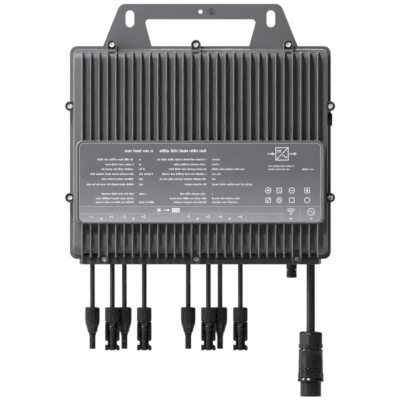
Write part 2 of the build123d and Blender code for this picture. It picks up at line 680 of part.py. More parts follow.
with BuildPart() as vent_plug:
    with BuildSketch(Plane.YZ.offset(VENT_SEAT_X)):
        with Locations((-VENT_DEPTH, VENT_Z)):
            Circle(VENT_CAP_R)
    extrude(amount=VENT_CAP_TOP_X - VENT_SEAT_X)
    fillet(edges().filter_by(GeomType.CIRCLE).group_by(Axis.X)[-1], VENT_CAP_ROUND)
    # grip notches round the cap, clear of its base
    with BuildSketch(Plane.YZ.offset(VENT_SEAT_X + 1.6)):
        with Locations((-VENT_DEPTH, VENT_Z)):
            with PolarLocations(VENT_CAP_R + VENT_NOTCH_R / 2, VENT_NOTCHES):
                Circle(VENT_NOTCH_R)
    extrude(amount=VENT_CAP_TOP_X - VENT_SEAT_X, mode=Mode.SUBTRACT)
    with BuildSketch(Plane.YZ.offset(VENT_SEAT_X)):
        with Locations((-VENT_DEPTH, VENT_Z)):
            Circle(VENT_STUB_R)
    extrude(amount=-VENT_STUB_L)
    # breather channel: a blind bore from inside and four slots under the cap's rim
    with BuildSketch(Plane.YZ.offset(VENT_SEAT_X - VENT_STUB_L)):
        with Locations((-VENT_DEPTH, VENT_Z)):
            Circle(VENT_BORE_R)
    extrude(amount=VENT_BORE_L, mode=Mode.SUBTRACT)
    with BuildSketch(Plane.YZ.offset(VENT_SEAT_X + FIT)):
        with Locations((-VENT_DEPTH, VENT_Z)):
            Rectangle(3 * VENT_CAP_R, VENT_SLOT_W)
            Rectangle(VENT_SLOT_W, 3 * VENT_CAP_R)
            Circle(VENT_SLOT_IN_R, mode=Mode.SUBTRACT)
    extrude(amount=VENT_SLOT_H, mode=Mode.SUBTRACT)
save(vent_plug.part, "vent_plug")

with BuildPart() as rating_label:
    with BuildSketch(front_plane(LABEL_FLOOR_DEPTH)):
        with Locations(LABEL_MID):
            RectangleRounded(*LABEL_SIZE, LABEL_CORNER_R)
    extrude(amount=LABEL_T)
save(rating_label.part, "rating_label")

# ======================= cable entry block =======================
with BuildPart() as cable_entry_block:
    with BuildSketch(level(BLOCK_BOTTOM)):
        with BuildLine():
            Polyline(
                (-BLOCK_HALF_W, -PLATE_T), (BLOCK_HALF_W, -PLATE_T),
                (BLOCK_HALF_W - BLOCK_END_DRAFT, -BLOCK_DEPTH),
                (-BLOCK_HALF_W + BLOCK_END_DRAFT, -BLOCK_DEPTH),
                close=True,
            )
        make_face()
    extrude(amount=BODY_BOTTOM - BLOCK_BOTTOM)
    fillet(edges().filter_by(Axis.Z).group_by(Axis.Y)[0], 1.0)
    chamfer(faces().sort_by(Axis.Z)[0].edges(), BLOCK_EDGE)
    # set-back neck between the block and the housing's lower wall
    with BuildSketch(level(BODY_BOTTOM)):
        with Locations((0, -(NECK_DEPTH + PLATE_T) / 2)):
            Rectangle(2 * NECK_HALF_W, NECK_DEPTH - PLATE_T)
    extrude(amount=NECK_TOP - BODY_BOTTOM)
    with BuildSketch(level(BLOCK_BOTTOM - 1)):
        with Locations(*PV_EXITS):
            Circle(PV_SEAL_R)
        with Locations((AC_X, AC_EXIT_Y)):
            Circle(AC_SEAL_R)
        with Locations((PORT_X, PORT_Y)):
            Circle(PORT_STEM_R)
    extrude(amount=BODY_BOTTOM - BLOCK_BOTTOM + 1, mode=Mode.SUBTRACT)
    # narrower passages through the neck
    with BuildSketch(level(BODY_BOTTOM - 1)):
        with Locations(*PV_EXITS):
            Circle(PV_CABLE_D / 2 + NECK_FIT)
        with Locations((AC_X, AC_EXIT_Y)):
            Circle(AC_CABLE_D / 2 + NECK_FIT)
        with Locations((PORT_X, PORT_Y)):
            Circle(PORT_STEM_R)
    extrude(amount=NECK_TOP - BODY_BOTTOM + 2, mode=Mode.SUBTRACT)
    with BuildSketch(front_plane(PLATE_T)):
        with Locations(*LOW_CENTRES):
            Circle(SCREW_CLEAR_R)
    extrude(amount=BLOCK_DEPTH, mode=Mode.SUBTRACT)
save(cable_entry_block.part, "cable_entry_block")

with BuildPart() as pv_cable_seals:
    with BuildSketch(level(BLOCK_BOTTOM)):
        with Locations(*PV_EXITS):
            Circle(PV_SEAL_R - FIT)
            Circle(PV_CABLE_D / 2, mode=Mode.SUBTRACT)
    extrude(amount=SEAL_H)
save(pv_cable_seals.part, "pv_cable_seals")

with BuildPart() as ac_cable_seal:
    with BuildSketch(level(BLOCK_BOTTOM)):
        with Locations((AC_X, AC_EXIT_Y)):
            Circle(AC_SEAL_R - FIT)
            Circle(AC_CABLE_D / 2, mode=Mode.SUBTRACT)
    extrude(amount=SEAL_H)
save(ac_cable_seal.part, "ac_cable_seal")

with BuildPart() as internal_leads:
    with BuildSketch(level(BLOCK_BOTTOM)):
        with Locations(*PV_EXITS):
            Circle(PV_CABLE_D / 2 - FIT)
        with Locations((AC_X, AC_EXIT_Y)):
            Circle(AC_CABLE_D / 2 - FIT)
    extrude(amount=TERMINAL_BOTTOM - BLOCK_BOTTOM)
save(internal_leads.part, "internal_leads")

# ======================= solar input leads and their connectors =======================
for pole, number, x in PV_LEADS:
    out_y, end_y = PV_EXIT_Y[pole], PV_END_Y[pole]
    upper, lower = PV_BENDS[pole]
    route = [
        (x, out_y, BLOCK_BOTTOM), (x, out_y, upper), (x, end_y, lower), (x, end_y, NUT_TOP),
    ]
    cord_tube(route, PV_CABLE_D, f"pv_cable_{pole}_{number}")

with BuildPart() as pv_cap_nuts:
    for pole, _, x in PV_LEADS:
        y = PV_END_Y[pole]
        with BuildSketch(axial_plane(x, y)):
            with BuildLine():
                Polyline(
                    (0, NUT_TOP), (NUT_R - NUT_CHAMFER, NUT_TOP), (NUT_R, NUT_TOP - NUT_CHAMFER),
                    (NUT_R, NUT_BOTTOM + 0.4), (NUT_R - 0.4, NUT_BOTTOM), (NUT_BORE_R, NUT_BOTTOM),
                    (NUT_BORE_R, NUT_TOP - NUT_ROOF), (0, NUT_TOP - NUT_ROOF),
                    close=True,
                )
            make_face()
        revolve(axis=Axis((x, y, 0), (0, 0, 1)))
        with BuildSketch(level(NUT_BOTTOM - 0.5, x, y)):
            with PolarLocations(NUT_R + NUT_GROOVE_R / 2, NUT_RIBS):
                Circle(NUT_GROOVE_R)
        extrude(amount=NUT_TOP - NUT_BOTTOM - NUT_CHAMFER, mode=Mode.SUBTRACT)
save(pv_cap_nuts.part, "pv_cap_nuts")

for pole, number, x in PV_LEADS:
    y = PV_END_Y[pole]
    if pole == "minus":
        with BuildPart() as minus_body:
            with BuildSketch(axial_plane(x, y)):
                with BuildLine():
                    Polyline(
                        (0, STUB_TOP), (NUT_BORE_R - 0.1, STUB_TOP),
                        (NUT_BORE_R - 0.1, COLLAR_TOP), (9.4, COLLAR_TOP), (9.4, -402.5),
                        (6.8, -410.6), (6.7, -412.0), (5.4, -415.2), (4.65, -415.5),
                        (4.65, -418.5), (MINUS_BARREL_R, -418.5),
                        (MINUS_BARREL_R, MINUS_TIP + TIP_ROUND),
                        (MINUS_BARREL_R - TIP_ROUND, MINUS_TIP), (MINUS_BORE_R, MINUS_TIP),
                        (MINUS_BORE_R, BORE_TOP), (0, BORE_TOP),
                        close=True,
                    )
                make_face()
            revolve(axis=Axis((x, y, 0), (0, 0, 1)))
            # latch window through the front of the barrel
            with Locations((x - 1.2, y - MINUS_BARREL_R, MINUS_WINDOW_Z)):
                Box(*MINUS_WINDOW, mode=Mode.SUBTRACT)
        save(minus_body.part, f"minus_connector_{number}")
        continue
    with BuildPart() as plus_body:
        with BuildSketch(axial_plane(x, y)):
            with BuildLine():
                Polyline(
                    (0, STUB_TOP), (NUT_BORE_R - 0.1, STUB_TOP), (NUT_BORE_R - 0.1, COLLAR_TOP),
                    (8.6, COLLAR_TOP), (8.6, -400.9), (6.6, -402.0), (4.7, -405.8),
                    (5.0, -406.6), (5.1, -408.5), (5.0, -410.6), (4.4, -411.5),
                    (PLUS_PROBE_R, -412.2), (PLUS_PROBE_R, PLUS_TIP + TIP_ROUND),
                    (PLUS_PROBE_R - TIP_ROUND, PLUS_TIP), (PLUS_BORE_R, PLUS_TIP),
                    (PLUS_BORE_R, BORE_TOP), (0, BORE_TOP),
                    close=True,
                )
            make_face()
        revolve(axis=Axis((x, y, 0), (0, 0, 1)))
        # crossbar that the fingers hang from, and the web behind them
        with BuildSketch(level(-402.0, x, y)):
            with Locations((0, 0.75)):
                Rectangle(2 * FINGER_OUT, 8.5)
        extrude(amount=1.1)
        with BuildSketch(axial_plane(x, y + WEB_Y)):
            with Locations((0, -413.0)):
                Rectangle(18.0, 22.0)
            with Locations((0, -430.0)):
                Rectangle(11.2, 14.0)
        extrude(amount=-WEB_T)
        # stops beside the collar
        with Locations((x, y, -410.5)):
            Box(13.2, 3.0, 1.0)
        with BuildSketch(level(PLUS_TIP, x, y)):
            Circle(PLUS_BORE_R)
        extrude(amount=BORE_TOP - PLUS_TIP, mode=Mode.SUBTRACT)
    save(plus_body.part, f"plus_connector_{number}")

for pole, number, x in PV_LEADS:
    if pole == "minus":
        continue
    for side, s in (("left", -1), ("right", 1)):
        arm_in = FINGER_OUT - FINGER_T
        # the left barb has a square back, the right one a sloping back
        barb = [(8.8, -430.5), (9.6, -431.4)] if s < 0 else [(7.2, -430.5), (9.6, -433.0)]
        outline = [
            (arm_in, FINGER_PIVOT_Z), (FINGER_OUT, FINGER_PIVOT_Z), (FINGER_OUT, -424.0),
            (8.2, -425.7), (FINGER_NECK_OUT, -425.7), (FINGER_NECK_OUT, -430.5), *barb,
            (FINGER_OUT, -437.0), (8.8, PLUS_TIP), (FINGER_NECK_IN, PLUS_TIP),
            (FINGER_NECK_IN, -422.6), (arm_in, -421.2),
        ]
        with BuildPart() as finger:
            with BuildSketch(axial_plane(x, PV_END_Y[pole])):
                with BuildLine():
                    Polyline(*[(s * r, z) for r, z in outline], close=True)
                make_face()
                with Locations((s * (FINGER_OUT - FINGER_T / 2), FINGER_PIVOT_Z)):
                    Circle(FINGER_T / 2)
            extrude(amount=FINGER_HALF_Y, both=True)
        save(finger.part, f"latch_finger_{number}_{side}")

with BuildPart() as lead_contacts:
    for pole, _, x in PV_LEADS:
        tip = (MINUS_TIP if pole == "minus" else PLUS_TIP) + CONTACT_SET_BACK
        with BuildSketch(level(tip, x, PV_END_Y[pole])):
            Circle(2.1 if pole == "minus" else 1.5)
            if pole == "minus":
                Circle(1.55, mode=Mode.SUBTRACT)
        extrude(amount=BORE_TOP - tip)
save(lead_contacts.part, "lead_contacts")

# ======================= radio port =======================
with BuildPart() as radio_port_body:
    with BuildSketch(level(PORT_COLLAR_BOTTOM, PORT_X, PORT_Y)):
        Circle(PORT_R)
    extrude(amount=BLOCK_BOTTOM - PORT_COLLAR_BOTTOM)
    with BuildSketch(level(BLOCK_BOTTOM, PORT_X, PORT_Y)):
        Circle(PORT_STEM_R - FIT)
    extrude(amount=PORT_STUB_IN)
    with BuildSketch(level(PORT_COLLAR_BOTTOM, PORT_X, PORT_Y)):
        Circle(PORT_STUB_R)
    extrude(amount=-PORT_THREAD_L)
save(radio_port_body.part, "radio_port_body")

cap = turned(
    [
        (CAP_BORE_R, PORT_CAP_TOP), (PORT_R, PORT_CAP_TOP), (PORT_R, PORT_TIP + 1.7),
        (PORT_R - 1.7, PORT_TIP), (0, PORT_TIP), (0, CAP_ROOF), (CAP_BORE_R, CAP_ROOF),
    ],
    PORT_X, PORT_Y,
)
with BuildPart() as radio_port_cap:
    add(cap)
    # grip grooves round the cap
    for z in CAP_GROOVES:
        with BuildSketch(level(z, PORT_X, PORT_Y)):
            Circle(PORT_R + 1)
            Circle(PORT_R - CAP_GROOVE_DEPTH, mode=Mode.SUBTRACT)
        extrude(amount=CAP_GROOVE_H, mode=Mode.SUBTRACT)
save(radio_port_cap.part, "radio_port_cap")

# ======================= alternating-current lead and connector =======================
cord_tube(
    [
        (AC_X, AC_EXIT_Y, BLOCK_BOTTOM), (AC_X, AC_EXIT_Y, AC_BENDS[0]),
        (AC_X, AC_END_Y, AC_BENDS[1]), (AC_X, AC_END_Y, AC_NUT_TOP),
    ],
    AC_CABLE_D, "ac_cable",
)

with BuildPart() as ac_gland_nut:
    with BuildSketch(level(AC_HEX_BOTTOM, AC_X, AC_END_Y)):
        RegularPolygon(AC_HEX_HALF, 6, major_radius=False, rotation=30)
    extrude(amount=AC_NUT_TOP - AC_HEX_BOTTOM)
    # the domed envelope rounds off the corners and the top
    with BuildSketch(axial_plane(AC_X, AC_END_Y)):
        with BuildLine():
            Polyline((0, AC_NUT_TOP), (0, AC_HEX_BOTTOM), (15.9, AC_HEX_BOTTOM), (15.9, -418.6))
            ThreePointArc((15.9, -418.6), (14.1, -414.3), (10.2, AC_NUT_TOP))
            Line((10.2, AC_NUT_TOP), (0, AC_NUT_TOP))
        make_face()
    revolve(axis=Axis((AC_X, AC_END_Y, 0), (0, 0, 1)), mode=Mode.INTERSECT)
    with BuildSketch(level(AC_NUT_BOTTOM, AC_X, AC_END_Y)):
        Circle(AC_NUT_R)
    extrude(amount=AC_HEX_BOTTOM - AC_NUT_BOTTOM)
    with BuildSketch(level(AC_NUT_BOTTOM, AC_X, AC_END_Y)):
        Circle(AC_NUT_BORE_R)
    extrude(amount=AC_NUT_BORE_L, mode=Mode.SUBTRACT)
save(ac_gland_nut.part, "ac_gland_nut")

save(
    turned(
        [
            (0, -419.2), (12.4, -419.2), (12.4, -435.1), (14.5, -435.1), (14.5, -437.0),
            (15.9, -437.3), (16.15, -438.0), (15.75, -443.0), (15.8, -448.0), (16.15, -455.0),
            (16.2, -461.4), (AC_SLEEVE_R, -461.4), (AC_SLEEVE_R, -480.3), (12.0, -480.3),
            (12.0, -466.0), (0, -466.0),
        ],
        AC_X, AC_END_Y,
    ),
    "ac_connector_body",
)

with BuildPart() as ac_coupling_ring:
    with BuildSketch(axial_plane(AC_X, AC_END_Y)):
        with BuildLine():
            Polyline(
                (RING_BORE_R, -461.6), (15.9, -461.6), (16.2, -461.9), (16.3, -468.0),
                (16.2, -474.6), (17.4, -477.4), (17.4, -478.6), (14.3, -480.4),
                (RING_BORE_R, -480.4),
                close=True,
            )
        make_face()
    revolve(axis=Axis((AC_X, AC_END_Y, 0), (0, 0, 1)))
    # grip ribs on two opposite sides
    for turn in (0, 180):
        for n in range(RING_RIBS):
            rib_turn = turn + RING_RIB_STEP * (n - (RING_RIBS - 1) / 2)
            with BuildSketch(level(RING_RIB_BOTTOM, AC_X, AC_END_Y)):
                with PolarLocations(RING_RIB_CIRCLE_R, 1, start_angle=rib_turn):
                    Circle(RING_RIB_R)
            extrude(amount=RING_RIB_L)
save(ac_coupling_ring.part, "ac_coupling_ring")

save(
    turned(
        [
            (AC_BORE_R, -466.2), (11.9, -466.2), (11.9, -480.6), (AC_SPIGOT_R, -480.6),
            (AC_SPIGOT_R, -488.1), (AC_SPIGOT_R - 0.5, -488.1), (AC_SPIGOT_R - 0.5, -488.9),
            (AC_SPIGOT_R, -488.9), (AC_SPIGOT_R, AC_TIP + 0.6), (AC_SPIGOT_R - 0.6, AC_TIP),
            (AC_BORE_R, AC_TIP),
        ],
        AC_X, AC_END_Y,
    ),
    "ac_spigot",
)

with BuildPart() as ac_insert:
    with BuildSketch(level(AC_INSERT_BOTTOM, AC_X, AC_END_Y)):
        Circle(AC_BORE_R - 0.1)
    extrude(amount=AC_INSERT_L)
    with BuildSketch(level(AC_INSERT_BOTTOM, AC_X, AC_END_Y)):
        with PolarLocations(AC_PIN_CIRCLE_R, 3, start_angle=90):
            Circle(AC_SOCKET_R)
    extrude(amount=AC_SOCKET_L, mode=Mode.SUBTRACT)
save(ac_insert.part, "ac_insert")

with BuildPart() as ac_contacts:
    with BuildSketch(level(AC_INSERT_BOTTOM + 2, AC_X, AC_END_Y)):
        with PolarLocations(AC_PIN_CIRCLE_R, 3, start_angle=90):
            Circle(AC_CONTACT_R)
            Circle(AC_CONTACT_BORE_R, mode=Mode.SUBTRACT)
    extrude(amount=AC_CONTACT_L)
save(ac_contacts.part, "ac_contacts")

# ======================= electronics =======================
with BuildPart() as main_board:
    with BuildSketch(front_plane(BOARD_DEPTH)):
        with Locations((0, (BOARD_TOP + BOARD_BOTTOM) / 2)):
            RectangleRounded(2 * BOARD_HALF_W, BOARD_TOP - BOARD_BOTTOM, 3)
        with Locations(*POST_PLACES):
            Circle(BOARD_HOLE_R, mode=Mode.SUBTRACT)
    extrude(amount=BOARD_T)
save(main_board.part, "main_board")

with BuildPart() as board_screws:
    with BuildSketch(front_plane(BOARD_DEPTH - POST_HEAD_H)):
        with Locations(*POST_PLACES):
            Circle(POST_HEAD_R)
    extrude(amount=POST_HEAD_H)
    with BuildSketch(front_plane(BOARD_DEPTH)):
        with Locations(*POST_PLACES):
            Circle(POST_SCREW_R)
    extrude(amount=POST_SCREW_L)
save(board_screws.part, "board_screws")

with BuildPart() as thermal_pads:
    with BuildSketch(front_plane(CAVITY_DEPTH - THERMAL_PAD_T)):
        with Locations(*[(x, TRANSISTOR_Z) for x in EIGHT_X]):
            Rectangle(*THERMAL_PAD_SIZE)
    extrude(amount=THERMAL_PAD_T)
save(thermal_pads.part, "thermal_pads")

with BuildPart() as power_transistors:
    with BuildSketch(front_plane(CAVITY_DEPTH - THERMAL_PAD_T - TRANSISTOR_T)):
        with Locations(*[(x, TRANSISTOR_Z) for x in EIGHT_X]):
            Rectangle(*TRANSISTOR_SIZE)
            Circle(TRANSISTOR_HOLE_R, mode=Mode.SUBTRACT)
    extrude(amount=TRANSISTOR_T)
    # three legs each: out of the lower edge, then back to the board
    legs = [(x + dx, LEG_Z) for x in EIGHT_X for dx in LEG_DX]
    with BuildSketch(front_plane(CAVITY_DEPTH - 3.5)):
        with Locations(*legs):
            Rectangle(LEG_W, LEG_L)
    extrude(amount=LEG_T)
    with BuildSketch(front_plane(BOARD_FRONT)):
        with Locations(*[(x, z - (LEG_L - LEG_T) / 2) for x, z in legs]):
            Rectangle(LEG_W, LEG_T)
    extrude(amount=CAVITY_DEPTH - 3.0 - BOARD_FRONT)
save(power_transistors.part, "power_transistors")

with BuildPart() as transformer_cores:
    with BuildSketch(level(CORE_Z - CORE_L / 2)):
        with Locations(*[(x, -BOARD_FRONT - CORE_H / 2) for x in FOUR_X]):
            Rectangle(CORE_W, CORE_H)
            with GridLocations(CORE_WINDOW_PITCH, 0, 2, 1):
                Rectangle(CORE_WINDOW_W, CORE_H - 2 * CORE_WINDOW_WALL, mode=Mode.SUBTRACT)
    extrude(amount=CORE_L)
save(transformer_cores.part, "transformer_cores")

with BuildPart() as transformer_windings:
    with BuildSketch(front_plane(BOARD_FRONT + (CORE_H - WINDING_H) / 2)):
        with Locations(*[(x, CORE_Z) for x in FOUR_X]):
            RectangleRounded(*WINDING_SIZE, WINDING_CORNER_R)
            Rectangle(*WINDING_HOLE, mode=Mode.SUBTRACT)
    extrude(amount=WINDING_H)
save(transformer_windings.part, "transformer_windings")

with BuildPart() as input_capacitors:
    with BuildSketch(front_plane(BOARD_FRONT)):
        with Locations(*[(x, CAPACITOR_Z) for x in EIGHT_X]):
            Circle(CAPACITOR_R)
    extrude(amount=CAPACITOR_H)
    fillet(edges().filter_by(GeomType.CIRCLE).group_by(Axis.Y)[0], 1.0)
save(input_capacitors.part, "input_capacitors")

with BuildPart() as choke_cores:
    with BuildSketch(front_plane(BOARD_FRONT + CHOKE_RAISE)):
        with Locations(*CHOKE_PLACES):
            Circle(CHOKE_OUT_R)
            Circle(CHOKE_IN_R, mode=Mode.SUBTRACT)
    extrude(amount=CHOKE_H)
save(choke_cores.part, "choke_cores")

with BuildPart() as choke_windings:
    inner = (CHOKE_OUT_R - CHOKE_IN_R + 2 * CHOKE_FIT, CHOKE_H + 2 * CHOKE_FIT)
    for x, z in CHOKE_PLACES:
        centre = (x, -BOARD_FRONT - CHOKE_RAISE - CHOKE_H / 2, z)
        with BuildSketch(Plane(origin=centre, x_dir=(1, 0, 0), z_dir=(0, 0, 1))):
            with Locations(((CHOKE_OUT_R + CHOKE_IN_R) / 2, 0)):
                Rectangle(inner[0] + 2 * CHOKE_WIRE_T, inner[1] + 2 * CHOKE_WIRE_T)
                Rectangle(*inner, mode=Mode.SUBTRACT)
        revolve(axis=Axis(centre, (0, 1, 0)), revolution_arc=CHOKE_ARC)
save(choke_windings.part, "choke_windings")

with BuildPart() as film_capacitors:
    with BuildSketch(front_plane(BOARD_FRONT)):
        with Locations(*FILM_PLACES):
            RectangleRounded(*FILM_SIZE, 1)
    extrude(amount=FILM_H)
save(film_capacitors.part, "film_capacitors")

with BuildPart() as relays:
    with BuildSketch(front_plane(BOARD_FRONT)):
        with Locations(*RELAY_PLACES):
            RectangleRounded(*RELAY_SIZE, 1)
    extrude(amount=RELAY_H)
save(relays.part, "relays")

with BuildPart() as wire_terminals:
    with BuildSketch(front_plane(BOARD_FRONT)):
        with Locations(*[(x, TERMINAL_BOTTOM + TERMINAL_H / 2) for x in PV_TERMINAL_X]):
            Rectangle(PV_TERMINAL_W, TERMINAL_H)
        with Locations((AC_X, TERMINAL_BOTTOM + TERMINAL_H / 2)):
            Rectangle(AC_TERMINAL_W, TERMINAL_H)
    extrude(amount=TERMINAL_T)
save(wire_terminals.part, "wire_terminals")

with BuildPart() as radio_board:
    with BuildSketch(front_plane(RADIO_BOARD_DEPTH)):
        with Locations(RADIO_BOARD_PLACE):
            RectangleRounded(*RADIO_BOARD_SIZE, 1.5)
    extrude(amount=RADIO_BOARD_T)
    with BuildSketch(front_plane(BOARD_FRONT)):
        with Locations(RADIO_HEADER_PLACE):
            Rectangle(*RADIO_HEADER_SIZE)
    extrude(amount=RADIO_BOARD_DEPTH - BOARD_FRONT)
save(radio_board.part, "radio_board")
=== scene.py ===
"""Looks of the micro inverter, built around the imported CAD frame.

Lengths are in metres, except in the label print and in names that end in _mm or _MM, which are
in mm. The front faces -Y and +Z is up.
"""

import math
import random

import bmesh
import bpy
from mathutils import Matrix, Vector


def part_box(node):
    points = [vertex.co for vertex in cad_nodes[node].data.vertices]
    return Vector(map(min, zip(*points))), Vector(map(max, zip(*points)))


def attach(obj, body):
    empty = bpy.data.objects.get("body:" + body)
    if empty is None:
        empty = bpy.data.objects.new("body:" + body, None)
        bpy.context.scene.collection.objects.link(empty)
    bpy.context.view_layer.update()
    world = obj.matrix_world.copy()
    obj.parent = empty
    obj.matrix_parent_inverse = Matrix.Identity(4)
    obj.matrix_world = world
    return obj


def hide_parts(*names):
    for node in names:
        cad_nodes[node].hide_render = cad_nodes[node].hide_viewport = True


MM = 0.001
BODY = "inverter"

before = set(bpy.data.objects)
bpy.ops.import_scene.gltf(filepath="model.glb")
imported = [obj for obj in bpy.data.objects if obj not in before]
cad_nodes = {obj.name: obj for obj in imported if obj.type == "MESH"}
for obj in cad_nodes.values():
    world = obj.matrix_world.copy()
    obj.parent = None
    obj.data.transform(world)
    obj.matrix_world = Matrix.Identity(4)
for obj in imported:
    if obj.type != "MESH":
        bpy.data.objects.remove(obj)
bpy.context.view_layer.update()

# ---------------------------------------------------------------- camera
CAMERA_PLACE = (-0.0005, -9.015, -0.2397)
SENSOR_MM = 36.0
LENS_MM = 613.3


def make_camera():
    """A long lens, level, straight at the front."""
    data = bpy.data.cameras.new("camera")
    data.type = "PERSP"
    data.sensor_width = SENSOR_MM
    data.lens = LENS_MM
    camera = bpy.data.objects.new("camera", data)
    camera.location = CAMERA_PLACE
    camera.rotation_euler = (math.radians(90), 0, 0)
    bpy.context.scene.collection.objects.link(camera)
    bpy.context.scene.camera = camera


make_camera()

# ---------------------------------------------------------------- cords
# pole, number and x of each solar lead, from the left
PV_LEADS = [
    ("minus", 1, -0.1425), ("plus", 1, -0.1161), ("minus", 2, -0.1004), ("plus", 2, -0.0740),
    ("minus", 3, -0.0160), ("plus", 3, 0.0106), ("minus", 4, 0.0260), ("plus", 4, 0.0528),
]
PV_DIAMETER = 0.0064
# y and z of each point; a lead keeps its own x
PV_ROUTE = {
    "minus": [(-0.0170, -0.3247), (-0.0170, -0.3397), (-0.0106, -0.35436), (-0.0106, -0.3812)],
    "plus": [(-0.0224, -0.3247), (-0.0224, -0.3430), (-0.0236, -0.3620), (-0.0236, -0.3812)],
}
AC_X = 0.14575
AC_DIAMETER = 0.0112
AC_ROUTE = [(-0.0165, -0.3247), (-0.0165, -0.3540), (-0.0190, -0.3840), (-0.0190, -0.4128)]


def make_cord(name, x, route, diameter):
    """A lead as a smooth NURBS tube that stands for its CAD node."""
    curve = bpy.data.curves.new(name + "_jacket", "CURVE")
    curve.dimensions = "3D"
    # the points' radius carries the size, which keeps the curve's bounding box true
    curve.bevel_depth = 1.0
    curve.bevel_resolution = 9
    curve.resolution_u = 24
    curve.use_fill_caps = True
    spline = curve.splines.new("NURBS")
    spline.points.add(len(route) - 1)
    for point, (y, z) in zip(spline.points, route):
        point.co = (x, y, z, 1)
        point.radius = diameter / 2
    spline.order_u = 3
    spline.use_endpoint_u = True
    jacket = bpy.data.objects.new(name + "_jacket", curve)
    bpy.context.scene.collection.objects.link(jacket)
    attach(jacket, BODY)
    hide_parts(name)
    return jacket


pv_jackets = []
for pole, number, lead_x in PV_LEADS:
    carried = [cad_nodes[f"{pole}_connector_{number}"]]
    if pole == "plus":
        carried += [cad_nodes[f"latch_finger_{number}_{side}"] for side in ("left", "right")]
    if (pole, number) == ("minus", 1):
        carried += [cad_nodes["pv_cap_nuts"], cad_nodes["lead_contacts"]]
    pv_jackets.append(make_cord(
        f"pv_cable_{pole}_{number}", lead_x, PV_ROUTE[pole], PV_DIAMETER,
    ))
ac_jacket = make_cord(
    "ac_cable", AC_X, AC_ROUTE, AC_DIAMETER,
)


# ---------------------------------------------------------------- materials
# the range in which most of a noise texture's values fall
NOISE_LOW, NOISE_HIGH = 0.3, 0.7
BEVEL_SAMPLES = 4
# the colour sockets of a Mix node
MIX_A, MIX_B, MIX_RESULT = 6, 7, 2


def grey(level, tint=0.0):
    """A linear grey for an sRGB level of 0 to 255; tint adds blue."""
    s = level / 255
    linear = s / 12.92 if s <= 0.04045 else ((s + 0.055) / 1.055) ** 2.4
    return (linear, linear, linear * (1 + tint), 1.0)


class Finish:
    """A Principled material whose nodes are added one by one."""

    def __init__(self, name, colour, roughness, metallic=0.0, specular=0.5):
        self.material = bpy.data.materials.new(name)
        self.material.use_nodes = True
        self.tree = self.material.node_tree
        self.tree.nodes.clear()
        output = self.tree.nodes.new("ShaderNodeOutputMaterial")
        self.shader = self.tree.nodes.new("ShaderNodeBsdfPrincipled")
        self.link(self.shader.outputs[0], output.inputs["Surface"])
        self.shader.inputs["Base Color"].default_value = colour
        self.shader.inputs["Roughness"].default_value = roughness
        self.shader.inputs["Metallic"].default_value = metallic
        self.shader.inputs["Specular IOR Level"].default_value = specular
        self.colour = colour
        self.roughness = roughness
        self.place = self.tree.nodes.new("ShaderNodeTexCoord").outputs["Object"]

    def link(self, source, target):
        self.tree.links.new(source, target)

    def noise(self, size_mm, detail):
        """Noise whose blotches are about size_mm across."""
        texture = self.tree.nodes.new("ShaderNodeTexNoise")
        texture.inputs["Scale"].default_value = 1 / (size_mm * MM)
        texture.inputs["Detail"].default_value = detail
        self.link(self.place, texture.inputs["Vector"])
        return texture.outputs["Fac"]

    def ramp(self, source, stops):
        """A colour ramp over source, with stops as (place, colour)."""
        node = self.tree.nodes.new("ShaderNodeValToRGB")
        node.color_ramp.interpolation = "LINEAR"
        elements = node.color_ramp.elements
        for n, (place, colour) in enumerate(stops):
            stop = elements[n] if n < 2 else elements.new(place)
            stop.position = place
            stop.color = colour
        self.link(source, node.inputs["Fac"])
        return node.outputs["Color"]

    def vary_colour(self, source, spread):
        """Base colour that wanders by the share spread with source."""
        darker = [c * (1 - spread) for c in self.colour[:3]] + [1]
        lighter = [min(1, c * (1 + spread)) for c in self.colour[:3]] + [1]
        out = self.ramp(source, [(NOISE_LOW, darker), (NOISE_HIGH, lighter)])
        self.link(out, self.shader.inputs["Base Color"])

    def vary_roughness(self, source, spread):
        """Roughness that wanders by spread up and down with source."""
        node = self.tree.nodes.new("ShaderNodeMapRange")
        node.inputs["From Min"].default_value = NOISE_LOW
        node.inputs["From Max"].default_value = NOISE_HIGH
        node.inputs["To Min"].default_value = self.roughness - spread
        node.inputs["To Max"].default_value = self.roughness + spread
        self.link(source, node.inputs["Value"])
        self.link(node.outputs["Result"], self.shader.inputs["Roughness"])

    def bump(self, source, height_mm, under):
        """Bump of height_mm from source, laid over the normal under."""
        node = self.tree.nodes.new("ShaderNodeBump")
        node.inputs["Strength"].default_value = 1.0
        node.inputs["Distance"].default_value = height_mm * MM
        self.link(source, node.inputs["Height"])
        self.link(under, node.inputs["Normal"])
        self.link(node.outputs["Normal"], self.shader.inputs["Normal"])

    def rounded(self, radius_mm):
        """The normal with edges softened to radius_mm."""
        node = self.tree.nodes.new("ShaderNodeBevel")
        node.samples = BEVEL_SAMPLES
        node.inputs["Radius"].default_value = radius_mm * MM
        return node.outputs["Normal"]


def moulded(name, colour, roughness, grain_mm=0.35, grain_height_mm=0.012, edge_mm=0.35,
            mottle_mm=14.0, spread=0.10, **more):
    """Coated metal or moulded plastic: mottled colour, a fine skin and softened edges."""
    finish = Finish(name, colour, roughness, **more)
    finish.vary_colour(finish.noise(mottle_mm, 4), spread)
    finish.vary_roughness(finish.noise(mottle_mm / 3, 3), 0.05)
    finish.bump(finish.noise(grain_mm, 2), grain_height_mm, finish.rounded(edge_mm))
    return finish


